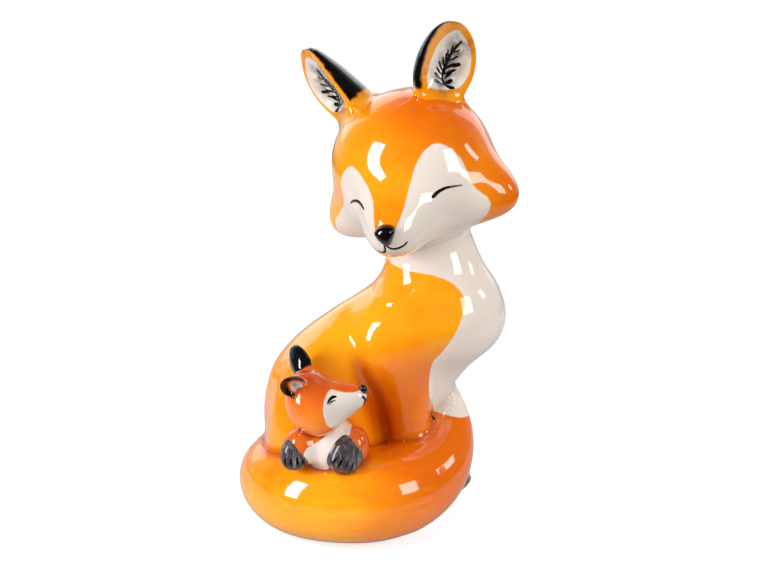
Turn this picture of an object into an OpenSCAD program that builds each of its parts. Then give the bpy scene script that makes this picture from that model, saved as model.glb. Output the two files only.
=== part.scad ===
// Seated fox with a kit in the curl of its tail. Slip-cast earthenware pieces,
// luted together while leather-hard, then fired and glazed as one ornament.
// Millimetres. +Z is up, -Y is the side that faces the viewer, and the origin
// is the middle of the flat foot that the figurine stands on.

/* [Base] */
// Half length of the foot, left to right
foot_x = 30; // [28:0.5:33]
// Half depth of the foot, front to back
foot_y = 27; // [25:0.5:30]
// Thickness of the base slab
slab_t = 5; // [4:0.5:7]
// How far the bare foot stands below the glazed parts
foot_reveal = 1.2; // [0.8:0.1:2]
// Diameter of the vent hole that lets air out in the kiln
vent_d = 9; // [7:0.5:12]
// Distance of the vent hole behind the middle of the foot
vent_back = 12; // [10:0.5:15]
// Wall of the hollow body
wall = 4.5; // [3.5:0.5:5.5]

/* [Mother: body] */
// Height of the neck seam above the ground
body_h = 106; // [98:1:114]
// Reach of the haunches behind the middle of the foot
haunch_reach = 35.5; // [33:0.5:38]
// Reach of the breast ahead of the middle of the foot
breast_reach = 57.5; // [54:0.5:61]
// Width of the chest
chest_w = 50; // [46:1:54]
// Length of the neck, front to back
neck_l = 38; // [35:0.5:41]
// Width of the neck
neck_w = 32; // [29:0.5:35]
// Degrees that the body is turned to the viewer's side
body_turn = -4; // [-10:1:2]
// Length of a thigh
thigh_l = 44; // [41:1:48]
// Height of a thigh
thigh_h = 70; // [65:1:74]
// Depth of a thigh, side to side
thigh_w = 33; // [30:1:36]

/* [Mother: legs] */
// Distance of the forelegs ahead of the middle of the foot
leg_ahead = 21.5; // [19:0.5:24]
// Distance between the middles of the two forelegs
leg_gap = 24; // [21:0.5:27]
// Width of a foreleg
leg_d = 14; // [12:0.5:16]
// Length of a paw
paw_l = 24; // [21:0.5:26]
// Height of a paw
paw_h = 13; // [11:0.5:15]

/* [Mother: head] */
// Height of the skull's middle above the neck seam
skull_rise = 35.5; // [34:0.5:37]
// Half width of the skull
skull_w = 30.5; // [28.5:0.5:32.5]
// Half depth of the skull
skull_d = 28.5; // [27:0.5:31]
// Height of the skull above its widest line
skull_h = 31; // [29:0.5:33]
// Reach of the cheek tips from the middle of the skull
cheek_reach = 43; // [41:0.5:46]
// Reach of the muzzle from the middle of the skull
muzzle_reach = 46; // [43:0.5:49]
// Degrees that the head is turned to the viewer's left
head_turn = 22; // [15:1:30]
// Degrees that the head is tipped over to that side
head_tip = 14.5; // [9:0.5:19]
// Degrees that the nose points down
head_nod = 8; // [2:1:12]
// Diameter of the nose button
nose_d = 8.4; // [7:0.2:9.6]
// Length of an ear above the skull
ear_l = 29.5; // [26:0.5:32]
// Width of an ear
ear_w = 23.5; // [21:0.5:26]
// Depth of an ear, front rim to back
ear_t = 15; // [13:0.5:17]
// Degrees that an ear leans outwards
ear_lean = 26; // [18:1:32]
// Degrees that an ear opens outwards
ear_turn = 42; // [30:1:55]
// Depth of the hollow in an ear
ear_cup = 5; // [3:0.5:6]

/* [Tail] */
// Radius of the curl, to the middle of the tail
curl_r = 28.5; // [26:0.5:30]
// Thickness of the tail at the front
tail_d = 36; // [33:0.5:38]
// Height of the tail's tip
tip_z = 60; // [56:1:64]

/* [Kit] */
// Distance of the kit's head to the left of the middle of the foot
kit_left = 15.5; // [13:0.5:18]
// Height of the kit's head above the tail
kit_rise = 22.6; // [21.5:0.1:23.5]
// Half size of the kit's skull
kit_r = 11; // [10:0.25:12]
// Reach of the kit's muzzle from the middle of its skull
kit_muzzle = 19.5; // [18:0.5:21]
// Diameter of the kit's nose
kit_nose_d = 3.4; // [2.8:0.2:4.2]
// Length of a kit's ear
kit_ear_l = 11; // [10:0.5:12.5]
// Width of a kit's ear
kit_ear_w = 8.6; // [8:0.2:9.6]
// Width of the kit across its shoulders
kit_w = 27; // [25:0.5:29]
// Diameter of the kit's paw that is nearer the tail's tip
kit_paw_d = 13.5; // [12:0.5:15]

/* [Hidden] */

ORANGE = [0.95, 0.52, 0.07];
RUST = [0.85, 0.36, 0.08];
BLACK = [0.05, 0.04, 0.04];
GREY = [0.25, 0.23, 0.24];
CLAY = [0.86, 0.80, 0.72];

// Smooth curve through rows of [place, value, value...], read at x
function slope(rows, i) =
    let (a = max(i - 1, 0), b = min(i + 1, len(rows) - 1))
    (rows[b] - rows[a]) / (rows[b][0] - rows[a][0]);
function segment(rows, x, i = 0) =
    i >= len(rows) - 2 || x < rows[i + 1][0] ? i : segment(rows, x, i + 1);
function along(rows, x) =
    let (i = segment(rows, x), h = rows[i + 1][0] - rows[i][0], t = (x - rows[i][0]) / h)
    (2 * pow(t, 3) - 3 * pow(t, 2) + 1) * rows[i]
    + (pow(t, 3) - 2 * pow(t, 2) + t) * h * slope(rows, i)
    + (3 * pow(t, 2) - 2 * pow(t, 3)) * rows[i + 1]
    + (pow(t, 3) - pow(t, 2)) * h * slope(rows, i + 1);
function unit(v) = v / norm(v);
function total(list) = list * [for (v = list) 1];

// A closed skin over a stack of rings, each with the same number of points
module skin(rings) {
    n = len(rings[0]);
    m = len(rings);
    middle = function(ring) [for (k = [0:2]) total([for (p = ring) p[k]]) / n];
    points = [for (r = rings) each r, middle(rings[0]), middle(rings[m - 1])];
    sides = [for (j = [0:m - 2], i = [0:n - 1])
        let (k = (i + 1) % n, a = j * n + i, b = j * n + k, c = a + n, d = b + n)
        each [[a, c, b], [b, c, d]]];
    ends = [for (i = [0:n - 1]) let (k = (i + 1) % n)
        each [[m * n, i, k], [m * n + 1, (m - 1) * n + k, (m - 1) * n + i]]];
    polyhedron(points, concat(sides, ends), convexity = 6);
}

// An egg with lobes about its own upright axis. The egg is [side, front, back, below, above],
// a fullness over 2 squares it up, and a lobe is [direction, height, sharpness]
function egg(d, r, full) =
    pow(pow(abs(d.x) / r[0], full) + pow(abs(d.y) / (d.y < 0 ? r[1] : r[2]), full)
        + pow(abs(d.z) / (d.z < 0 ? r[3] : r[4]), full), -1 / full);
function lobes_at(d, lobes) =
    len(lobes) == 0 ? 0 : total([for (l = lobes) l[1] * exp(-l[2] * (1 - d * unit(l[0])))]);
module lobed_form(r, lobes = [], full = 2, n = 16, m = 10) {
    pole = 0.35;
    skin([for (j = [0:m]) let (v = -90 + 180 * (j + pole) / (m + 2 * pole))
        [for (i = [0:n - 1]) let (d = [cos(v) * cos(360 * i / n), cos(v) * sin(360 * i / n), sin(v)])
            d * (egg(d, r, full) + lobes_at(d, lobes))]]);
}

// The body: a stack of ovals, [share of the height, back edge, front edge, half width, and how much
// narrower the oval is to the front]
neck_back = neck_l * 0.268;
slab_share = slab_t / body_h;
neck_end = 1.2;
body_rows = [
    [0.00, -haunch_reach * 0.86, breast_reach * 0.50, chest_w * 0.27, 0.50],
    [0.20, -haunch_reach * 0.97, breast_reach * 0.57, chest_w * 0.28, 0.50],
    [0.40, -haunch_reach * 0.99, breast_reach * 0.59, chest_w * 0.30, 0.46],
    [0.50, -haunch_reach * 0.96, breast_reach * 0.63, chest_w * 0.34, 0.36],
    [0.60, -haunch_reach * 0.875, breast_reach * 0.757, chest_w * 0.42, 0.18],
    [0.70, -haunch_reach * 0.655, breast_reach * 0.944, chest_w * 0.49, 0.05],
    [0.80, -haunch_reach * 0.285, breast_reach, chest_w * 0.50, 0],
    [0.90, neck_back * 0.45, breast_reach * 0.95, chest_w * 0.43, 0],
    [1.00, neck_back, neck_back + neck_l, neck_w / 2, 0],
    [neck_end, neck_back * 1.1, neck_back + neck_l * 0.78, neck_w * 0.40, 0]];
function body_ring(t, n, inset) =
    let (row = along(body_rows, t), rx = (row[2] - row[1]) / 2 - inset)
    [for (i = [0:n - 1]) let (c = cos(360 * i / n), ry = row[3] * (1 - row[4] * c) - inset)
        [(row[1] + row[2]) / 2 + rx * c, ry * sin(360 * i / n), t * body_h]];
module body_form() {
    n = 26;
    m = 23;
    rotate(body_turn) skin([for (j = [0:m]) body_ring(slab_share + (neck_end - slab_share) * j / m, n, 0)]);
}
thigh_out = thigh_w * 0.394;
module thigh_form(side) {
    lean = 3;
    rotate(body_turn) translate([-haunch_reach * 0.34, side * thigh_out, thigh_h * 0.51]) rotate([0, lean, 0])
        lobed_form([thigh_l / 2, thigh_w / 2, thigh_w / 2, thigh_h * 0.47, thigh_h * 0.57], n = 20, m = 14);
}
// Everything of the mother that stands in the curl of the tail
module trunk() {
    body_form();
    thigh_form(-1);
    thigh_form(1);
}
module below_slab_top() {
    reach = 3 * body_h;
    translate([-reach / 2, -reach / 2, slab_t - reach]) cube(reach);
}
module hollow() {
    n = 20;
    m = 12;
    top = 0.90;
    rotate(body_turn) skin([for (j = [0:m]) body_ring(slab_share * 0.8 + (top - slab_share * 0.8) * j / m, n, wall)]);
}
module body() {
    color(ORANGE) difference() {
        trunk();
        below_slab_top();
        hollow();
    }
}

// The head, about the middle of the skull
head_at = [neck_back + neck_l * 0.315, -neck_w * 0.06, body_h + skull_rise];
head_lobes = [
    [[0.91, -0.09, -0.41], cheek_reach - skull_w * 1.016, 18],
    [[-0.91, -0.09, -0.41], cheek_reach - skull_w * 1.016, 18],
    [[0, -0.96, -0.30], muzzle_reach - skull_d * 1.018, 15],
    [[0, -0.72, -0.70], skull_d * 0.088, 10]];
module in_head() { translate(head_at) rotate([head_nod, -head_tip, -head_turn]) children(); }
module head_form() {
    in_head() lobed_form([skull_w, skull_d, skull_d, skull_h * 0.82, skull_h], head_lobes, 2.15, 33, 24);
}
module head() {
    color(ORANGE) difference() {
        head_form();
        body_form();
    }
}

// An ear: rounded back, cupped front and round tip. Rows are [share of the length, width, depth]
ear_rows = [
    [-0.35, 0.62, 0.90],
    [0.00, 0.82, 0.95],
    [0.25, 0.99, 0.88],
    [0.50, 0.98, 0.74],
    [0.70, 0.85, 0.55],
    [0.86, 0.63, 0.36],
    [0.96, 0.37, 0.20],
    [1.00, 0.14, 0.10]];
module ear_form(l, w, t, cup, n, m) {
    rim = 0.22;
    skin([for (j = [0:m]) let (v = -0.35 + 1.35 * sin(90 * j / m), row = along(ear_rows, v), half = w / 2 * row[1],
            back = t * (1 - rim) * row[2], front = t * rim * row[2], dip = (front + cup * row[2]) * min(1, max(0, v * 5)))
        [for (i = [0:n - 1]) let (a = 360 * i / n, s = abs(sin(a)))
            [half * cos(a), a <= 180 ? back * s : -front * s + dip * pow(s, 3), l * v]]]);
}
module head_ear_form(side) {
    in_head() translate([side * skull_w * 0.6, 0, skull_h * 0.86]) rotate([0, side * ear_lean, 0])
        rotate(side * ear_turn)
        ear_form(ear_l, ear_w, ear_t, ear_cup, 20, 12);
}
module head_ear(side) {
    color(BLACK) difference() {
        head_ear_form(side);
        head_form();
    }
}
module left_ear() { head_ear(-1); }
module right_ear() { head_ear(1); }

module nose_button() {
    color(BLACK) difference() {
        in_head() translate(unit([0, -0.96, -0.24]) * (muzzle_reach - nose_d / 6))
            lobed_form([nose_d / 2, nose_d * 0.42, nose_d * 0.42, nose_d * 0.46, nose_d * 0.42], n = 14, m = 9);
        head_form();
    }
}

// Legs and paws of the mother. A foreleg widens into the shoulder and ends inside it:
// [share of its height, shift ahead, half length, half width], in widths of the leg
shoulder_z = body_h * 0.88;
leg_rows = [
    [0.00, 0, 0.50, 0.50],
    [0.38, 0, 0.52, 0.50],
    [0.58, -0.05, 0.62, 0.56],
    [0.76, -0.22, 0.86, 0.65],
    [0.90, -0.32, 0.86, 0.64],
    [1.00, -0.32, 0.50, 0.40]];
module leg_form(side) {
    n = 16;
    m = 14;
    rotate(body_turn) skin([for (j = [0:m]) let (row = leg_d * along(leg_rows, j / m))
        [for (i = [0:n - 1]) [leg_ahead + row[1] + row[2] * cos(360 * i / n),
            side * leg_gap / 2 + row[3] * sin(360 * i / n), slab_t + (shoulder_z - slab_t) * j / m]]]);
}
module foreleg(side) {
    color(ORANGE) difference() {
        leg_form(side);
        trunk();
    }
}
module near_foreleg() { foreleg(-1); }
module far_foreleg() { foreleg(1); }

// A paw, with the toes to the front and flat on the ground
module paw_form(x, y) {
    toes = [for (k = [-1:1]) [[1, 0.5 * k, -0.1], paw_h * 0.154, 30]];
    difference() {
        rotate(body_turn) translate([x, y, foot_reveal + paw_h / 2])
            lobed_form([paw_l / 2, paw_l * 0.35, paw_l * 0.35, paw_h / 2, paw_h / 2], toes, 2.3, 18, 11);
        slab_form();
    }
}
module far_forepaw_form() { paw_form(leg_ahead + paw_l * 0.46, leg_gap * 0.54); }
module far_hind_paw_form() { paw_form(leg_ahead * 0.35, thigh_out + thigh_w / 2); }
module far_forepaw() {
    color(GREY) difference() {
        far_forepaw_form();
        leg_form(1);
    }
}
module far_hind_paw() {
    color(GREY) difference() {
        far_hind_paw_form();
        trunk();
        leg_form(1);
        far_forepaw_form();
    }
}

// The tail: round sections along the curl, [degrees round, radius, height, share of the thickness]
tail_z = foot_reveal + tail_d / 2;
tail_top = tail_z + tail_d / 2;
function tail_height(share) = tail_z + (tip_z - tail_z) * share;
tail_rows = [
    [150, curl_r, tail_height(0.03), 0.55],
    [175, curl_r * 1.042, tail_height(0), 0.90],
    [210, curl_r * 1.028, tail_height(0), 0.99],
    [255, curl_r, tail_height(0), 1],
    [290, curl_r, tail_height(0.02), 1],
    [320, curl_r * 1.035, tail_height(0.08), 0.94],
    [345, curl_r * 1.105, tail_height(0.23), 0.80],
    [362, curl_r * 1.21, tail_height(0.47), 0.58],
    [372, curl_r * 1.28, tail_height(0.76), 0.36],
    [377, curl_r * 1.28, tail_height(1), 0.10]];
function tail_mid(a) = let (r = along(tail_rows, a)) [r[1] * cos(a), r[1] * sin(a), r[2]];
module tail_form() {
    n = 21;
    m = 30;
    start = tail_rows[0][0];
    end = tail_rows[len(tail_rows) - 1][0];
    skin([for (j = [0:m])
        let (a = start + (end - start) * j / m, ahead = unit(tail_mid(a + 0.5) - tail_mid(a - 0.5)),
            out = unit(cross(ahead, [0, 0, 1])), up = cross(out, ahead), r = tail_d / 2 * along(tail_rows, a)[3])
        [for (i = [0:n - 1]) tail_mid(a) + r * (cos(-360 * i / n) * out + sin(-360 * i / n) * up)]]);
}
module tail() {
    color(ORANGE) difference() {
        tail_form();
        slab_form();
        trunk();
        leg_form(-1);
        leg_form(1);
        far_forepaw_form();
    }
}

// The kit, which lies over the tail from behind
kit_at = [-kit_left, -curl_r - tail_d * 0.18, tail_top + kit_rise];
kit_mid = kit_at.x + kit_w * 0.222;
kit_shoulder_z = tail_top + kit_r * 0.455;
module in_kit() { translate(kit_at) rotate([-24, -10, 78]) children(); }
module kit_head_form() {
    cheek = kit_r * 0.227;
    in_kit() lobed_form([kit_r, kit_r, kit_r, kit_r * 1.1, kit_r],
        [[[0, -1, -0.12], kit_muzzle - kit_r, 14], [[0.8, -0.1, -0.5], cheek, 8], [[-0.8, -0.1, -0.5], cheek, 8],
         [[0, -0.8, -0.5], cheek, 8]], 2, 24, 18);
}
module kit_body_form() {
    translate([kit_mid, -curl_r - tail_d * 0.097, kit_shoulder_z])
        lobed_form([kit_w * 0.42, kit_r * 0.8, kit_r * 0.8, kit_r, kit_r * 1.1], n = 18, m = 12);
    for (side = [-1, 1])
        translate([kit_mid + side * kit_w * 0.32, -curl_r - tail_d * 0.18, kit_shoulder_z])
            lobed_form([kit_w * 0.2, kit_r * 0.6, kit_r * 0.6, kit_r * 0.7, kit_r * 0.6], n = 14, m = 9);
}
module kit_body() {
    color(RUST) difference() {
        kit_body_form();
        tail_form();
        trunk();
    }
}
module kit_head() {
    color(RUST) difference() {
        kit_head_form();
        kit_body_form();
        trunk();
    }
}
module kit_ear(side) {
    color(BLACK) difference() {
        in_kit() translate([side * kit_r * 0.55, kit_r * 0.1, kit_r * 0.8]) rotate([-18, side * 35, 0]) rotate(side * 60)
            ear_form(kit_ear_l, kit_ear_w, kit_ear_w * 0.62, kit_ear_w * 0.2, 16, 9);
        kit_head_form();
        trunk();
    }
}
module kit_near_ear() { kit_ear(-1); }
module kit_far_ear() { kit_ear(1); }
module kit_nose() {
    color(BLACK) difference() {
        in_kit() translate([0, -kit_muzzle, -kit_muzzle * 0.09])
            lobed_form([kit_nose_d / 2, kit_nose_d * 0.36, kit_nose_d * 0.36, kit_nose_d * 0.45, kit_nose_d * 0.45],
                n = 12, m = 8);
        kit_head_form();
    }
}
module kit_paw(x, d) {
    color(GREY) difference() {
        translate([x, -curl_r - tail_d * 0.25, tail_top + kit_paw_d * 0.104])
            lobed_form([d / 2, d * 0.42, d * 0.42, d * 0.52, d * 0.48], n = 16, m = 10);
        tail_form();
        kit_body_form();
    }
}
module kit_left_paw() { kit_paw(kit_at.x - kit_w * 0.278, kit_paw_d * 0.76); }
module kit_right_paw() { kit_paw(kit_at.x + kit_w * 0.426, kit_paw_d); }

// The slab that closes the hollow body from below, with its bare foot
module slab_form() {
    linear_extrude(slab_t) polygon([for (a = [0:6:354]) [foot_x * cos(a), foot_y * sin(a)]]);
}
module base_slab() {
    color(CLAY) difference() {
        slab_form();
        translate([-vent_back, 0, -1]) cylinder(d = vent_d, h = slab_t + 2, $fn = 32);
    }
}

base_slab();
body();
head();
left_ear();
right_ear();
nose_button();
near_foreleg();
far_foreleg();
far_forepaw();
far_hind_paw();
tail();
kit_body();
kit_head();
kit_near_ear();
kit_far_ear();
kit_nose();
kit_left_paw();
kit_right_paw();
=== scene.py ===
import math
import bpy
import numpy as np
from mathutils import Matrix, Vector


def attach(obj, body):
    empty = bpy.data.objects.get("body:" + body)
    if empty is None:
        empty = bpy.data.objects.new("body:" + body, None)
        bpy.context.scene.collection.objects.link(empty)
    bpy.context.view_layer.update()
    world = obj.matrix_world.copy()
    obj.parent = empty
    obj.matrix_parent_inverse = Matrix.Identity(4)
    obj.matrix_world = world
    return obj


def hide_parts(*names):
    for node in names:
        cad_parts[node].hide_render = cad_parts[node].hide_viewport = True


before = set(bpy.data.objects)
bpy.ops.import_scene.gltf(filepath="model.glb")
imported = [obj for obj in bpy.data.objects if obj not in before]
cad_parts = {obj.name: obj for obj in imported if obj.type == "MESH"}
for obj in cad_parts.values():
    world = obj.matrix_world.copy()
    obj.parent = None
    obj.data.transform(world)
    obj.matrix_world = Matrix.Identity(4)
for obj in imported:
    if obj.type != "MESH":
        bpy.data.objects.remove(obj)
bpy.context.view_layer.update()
print("frame loaded,", len(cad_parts), "CAD nodes")

# Everything below is worked out in millimetres and goes into the meshes in metres
mm = 0.001
halvings = 24       # how often a search for a skin halves its way


# Small sums that the shapes share

def unit(v):
    return v / np.linalg.norm(v, axis=-1, keepdims=True)


def turned(angles):
    # turn about x, then y, then z, in degrees
    a, b, c = np.radians(angles)
    aboutX = np.array([[1, 0, 0], [0, np.cos(a), -np.sin(a)], [0, np.sin(a), np.cos(a)]])
    aboutY = np.array([[np.cos(b), 0, np.sin(b)], [0, 1, 0], [-np.sin(b), 0, np.cos(b)]])
    aboutZ = np.array([[np.cos(c), -np.sin(c), 0], [np.sin(c), np.cos(c), 0], [0, 0, 1]])
    return aboutZ @ aboutY @ aboutX


def along(rows, x):
    # smooth curve through rows of [place, value, value...], read at the places x
    rows = np.asarray(rows, float)
    x = np.asarray(x, float)
    place = rows[:, 0]
    last = len(rows) - 1
    before = np.maximum(np.arange(last + 1) - 1, 0)
    after = np.minimum(np.arange(last + 1) + 1, last)
    slope = (rows[after] - rows[before]) / (place[after] - place[before])[:, None]
    i = np.clip(np.searchsorted(place, x, side="right") - 1, 0, last - 1)
    h = (place[i + 1] - place[i])[..., None]
    t = (x - place[i])[..., None] / h
    return ((2 * t ** 3 - 3 * t ** 2 + 1) * rows[i] + (t ** 3 - 2 * t ** 2 + t) * h * slope[i]
            + (3 * t ** 2 - 2 * t ** 3) * rows[i + 1] + (t ** 3 - t ** 2) * h * slope[i + 1])


def step(x, low, high):
    # nothing below low, one above high, smooth between
    t = np.clip((x - low) / (high - low), 0, 1)
    return t * t * (3 - 2 * t)


def smoothMin(a, b, k):
    # the smaller of two distances, rounded over where they are within k of each other
    return np.minimum(a, b) - np.maximum(k - np.abs(a - b), 0) ** 2 / (4 * k)


def gradient(field, p):
    # central differences of a field, a hundredth of a millimetre each way
    e = 0.01
    parts = [(field(p + e * axis) - field(p - e * axis)) / (2 * e) for axis in np.eye(3)]
    return np.stack(parts, axis=-1)


def around(n):
    # n equal turns of a full circle, in radians
    return np.radians(np.arange(n) * 360 / n)


def directions(n, m):
    # every direction of a grid of n round and m up
    up = np.radians(np.linspace(-90, 90, m + 2)[1:-1])[:, None]
    about = around(n)[None, :]
    parts = (np.cos(up) * np.cos(about), np.cos(up) * np.sin(about), np.sin(up))
    return np.stack(np.broadcast_arrays(*parts), axis=-1)


# Forms: each is a function that gives the distance of points to its skin, less than nothing inside

def eggReach(d, r, full, lobes):
    # radius of the egg [side, front, back, below, above] towards d, plus a bump round each lobe's direction
    side = np.abs(d[..., 0]) / r[0]
    deep = np.abs(d[..., 1]) / np.where(d[..., 1] < 0, r[1], r[2])
    tall = np.abs(d[..., 2]) / np.where(d[..., 2] < 0, r[3], r[4])
    reach = (side ** full + deep ** full + tall ** full) ** (-1 / full)
    for towards, height, sharp in lobes:
        reach = reach + height * np.exp(-sharp * (1 - d @ unit(np.array(towards, float))))
    return reach


class Egg:
    def __init__(self, at, r, lobes=(), full=2.0, turn=np.eye(3)):
        self.at = np.array(at, float)
        self.r = r
        self.lobes = lobes
        self.full = full
        self.turn = turn

    def __call__(self, p):
        q = (p - self.at) @ self.turn
        size = np.maximum(np.linalg.norm(q, axis=-1), 1e-6)
        return size - eggReach(q / size[..., None], self.r, self.full, self.lobes)

    def surface(self, n, m):
        # the reach of the egg in every direction of the grid
        d = directions(n, m)
        return (d * eggReach(d, self.r, self.full, self.lobes)[..., None]) @ self.turn.T + self.at


def starSurface(field, at, n, m, far):
    # halving the way out from a point in every direction until the field's skin is met
    d = directions(n, m)
    low = np.zeros(d.shape[:2])
    high = np.full(d.shape[:2], float(far))
    for _ in range(halvings):
        middle = (low + high) / 2
        inside = field(np.array(at) + d * middle[..., None]) < 0
        low = np.where(inside, middle, low)
        high = np.where(inside, high, middle)
    return np.array(at) + d * low[..., None]


def melt(points, own, others):
    # Near a neighbour a point moves down the slope of the joined field until it meets its skin, so that
    # the two pieces run into each other; inside the neighbour it dips under that skin, and deeper inside it
    # stays where it was
    flat = points.reshape(-1, 3).copy()
    gaps = np.stack([field(flat) for field, k in others])
    reach = np.array([k for field, k in others])[:, None]
    near = (gaps < reach).any(axis=0) & (gaps > -3).all(axis=0)
    p = flat[near]

    def joined(q):
        value = own(q)
        for field, k in others:
            value = smoothMin(value, field(q), k)
        return value

    moved = p.copy()
    for _ in range(4):
        slope = gradient(joined, moved)
        moved = moved - slope * (joined(moved) / np.maximum((slope ** 2).sum(axis=-1), 0.05))[:, None]
    depth = gaps[:, near].min(axis=0)
    moved = moved - unit(gradient(joined, moved)) * (0.4 * step(-depth, 0.1, 1.6))[:, None]
    share = step(depth, -2.4, -0.6)
    flat[near] = p + (moved - p) * share[:, None]
    return flat.reshape(points.shape)


def seamShade(points, others, reach):
    # painted shade mask: one where a neighbour is met, fading over the reach
    gap = np.stack([np.maximum(field(points), 0) for field in others]).min(axis=0)
    return np.exp(-(gap / reach) ** 2)


# Painted outlines

def curveThrough(dots, closed, n):
    # smooth curve through a few chosen dots, n steps to each stretch
    dots = np.array(dots, float)
    if closed:
        dots = np.vstack([dots[-1], dots, dots[:2]])
    else:
        dots = np.vstack([2 * dots[0] - dots[1], dots, 2 * dots[-1] - dots[-2]])
    t = (np.arange(n) / n)[:, None]
    a, b, c, d = dots[:-3, None], dots[1:-2, None], dots[2:-1, None], dots[3:, None]
    curve = 0.5 * (2 * b + (c - a) * t + (2 * a - 5 * b + 4 * c - d) * t ** 2
                   + (3 * b - a - 3 * c + d) * t ** 3)
    curve = curve.reshape(-1, dots.shape[1])
    return curve if closed else np.vstack([curve, dots[-2]])


def gapToRun(flat, a, b):
    # distance to the straight run between two dots
    run = b - a
    t = np.clip(((flat - a) @ run) / max(run @ run, 1e-9), 0, 1)
    return np.linalg.norm(flat - a - t[..., None] * run, axis=-1)


def gapToCurve(flat, dots):
    # distance to an open curve in its plane
    line = curveThrough(dots, False, 5)
    return np.stack([gapToRun(flat, a, b) for a, b in zip(line[:-1], line[1:])]).min(axis=0)


def insideOutline(flat, dots):
    # distance to a closed outline in its plane, more than nothing inside
    loop = curveThrough(dots, True, 6)
    best = np.full(flat.shape[:-1], 1e9)
    odd = np.zeros(flat.shape[:-1], bool)
    for a, b in zip(loop, np.roll(loop, -1, axis=0)):
        run = b - a
        best = np.minimum(best, gapToRun(flat, a, b))
        cross = (flat[..., 1] < a[1]) != (flat[..., 1] < b[1])
        level = a[0] + (flat[..., 1] - a[1]) * run[0] / (run[1] if abs(run[1]) > 1e-9 else 1e-9)
        odd ^= cross & (flat[..., 0] < level)
    return np.where(odd, best, -best)


# Meshes

def cappedGrid(rings):
    # points and faces of a grid that is closed round the second way, each end with a middle point, facing out
    m, n = rings.shape[:2]
    points = np.vstack([rings.reshape(-1, 3), rings[0].mean(axis=0), rings[-1].mean(axis=0)])
    j, i = np.meshgrid(np.arange(m - 1), np.arange(n), indexing="ij")
    k = (i + 1) % n
    quads = np.stack([j * n + i, j * n + k, (j + 1) * n + k, (j + 1) * n + i], axis=-1).reshape(-1, 4)
    i, k = np.arange(n), (np.arange(n) + 1) % n
    low = np.stack([np.full(n, m * n), k, i], axis=-1)
    high = np.stack([np.full(n, m * n + 1), (m - 1) * n + i, (m - 1) * n + k], axis=-1)
    triangles = np.vstack([low, high])
    a, b, c = (points[triangles[:, x]] for x in range(3))
    volume = np.einsum("ij,ij->", a, np.cross(b, c))
    for x, y, z in ((0, 1, 2), (0, 2, 3)):
        a, b, c = points[quads[:, x]], points[quads[:, y]], points[quads[:, z]]
        volume += np.einsum("ij,ij->", a, np.cross(b, c))
    if volume < 0:
        quads, triangles = quads[:, ::-1], triangles[:, ::-1]
    return points, quads, triangles


def smoothMesh(name, points, faces):
    mesh = bpy.data.meshes.new(name)
    mesh.from_pydata((points * mm).tolist(), [], faces)
    mesh.polygons.foreach_set("use_smooth", np.ones(len(mesh.polygons), bool))
    return mesh


def makePiece(name, rings, material, replaces=(), paint=None):
    points, quads, triangles = cappedGrid(rings)
    mesh = smoothMesh(name, points, quads.tolist() + triangles.tolist())
    for title, values in (paint or {}).items():
        values = np.broadcast_to(values, rings.shape[:2])
        full = np.concatenate([values.ravel(), [values[0].mean(), values[-1].mean()]])
        mesh.attributes.new(title, "FLOAT", "POINT").data.foreach_set("value", full.astype(np.float32))
    return finishPiece(name, mesh, material, replaces)


def finishPiece(name, mesh, material, replaces):
    mesh.update()
    mesh.materials.append(material)
    piece = bpy.data.objects.new(name, mesh)
    bpy.context.scene.collection.objects.link(piece)
    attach(piece, "root")
    if replaces:
        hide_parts(*replaces)
    return piece


def frontOf(field, flat, at, turn, far, deep=0.0):
    # point of a skin that stands in front of each (x, z) of the form's own front plane, sought from far
    # before that plane to deep behind it
    low = np.full(flat.shape[:-1], -float(far))
    high = np.full(flat.shape[:-1], float(deep))

    def place(y):
        return np.stack([flat[..., 0], y, flat[..., 1]], axis=-1) @ turn.T + at

    for _ in range(halvings + 2):
        middle = (low + high) / 2
        inside = field(place(middle)) < 0
        high = np.where(inside, middle, high)
        low = np.where(inside, low, middle)
    return place(high)


strokeSink = 0.3    # how far a stroke reaches under the skin, mm


def brushStrokes(name, sets, material, lift=0.16, across=12, steps=26):
    # Each set is (strokes, field, at, turn, far, deep) and each stroke [dots in the front plane, half widths].
    # A stroke is a closed lens carried along its curve on the skin: its upper half stands a hair above the
    # skin and its lower half is sunk under it
    allPoints, allFaces = [], []
    rows = [(*stroke, *rest) for strokes, *rest in sets for stroke in strokes]
    for dots, widths, field, at, turn, far, deep in rows:
        line = curveThrough(dots, False, steps)
        count = len(line)
        ahead = unit(np.gradient(line, axis=0))
        sideways = np.stack([-ahead[:, 1], ahead[:, 0]], axis=-1)
        wide = np.interp(np.linspace(0, 1, count), np.linspace(0, 1, len(widths)), widths)
        ends = np.sqrt(np.clip(1 - np.linspace(-1, 1, count) ** 8, 0, 1)) * 0.97 + 0.03
        wide = wide * ends
        turnRound = around(across)
        rise = np.sin(turnRound)
        flat = line[:, None] + sideways[:, None] * (wide[:, None] * np.cos(turnRound))[..., None]
        skin = frontOf(field, flat, at, turn, far, deep)
        out = unit(gradient(field, skin))
        height = np.where(rise > 0, lift * rise, strokeSink * rise) * ends[:, None]
        rings = skin + out * height[..., None]
        points, quads, triangles = cappedGrid(rings)
        start = sum(len(p) for p in allPoints)
        allPoints.append(points)
        allFaces += (quads + start).tolist() + (triangles + start).tolist()
    mesh = smoothMesh(name, np.vstack(allPoints), allFaces)
    return finishPiece(name, mesh, material, ())


# Glazes

def shade(r, g, b):
    # a colour as it is seen on a screen, turned into the shader's own numbers
    c = np.array([r, g, b]) / 255
    c = np.where(c <= 0.04045, c / 12.92, ((c + 0.055) / 1.055) ** 2.4)
    return (float(c[0]), float(c[1]), float(c[2]), 1.0)


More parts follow.
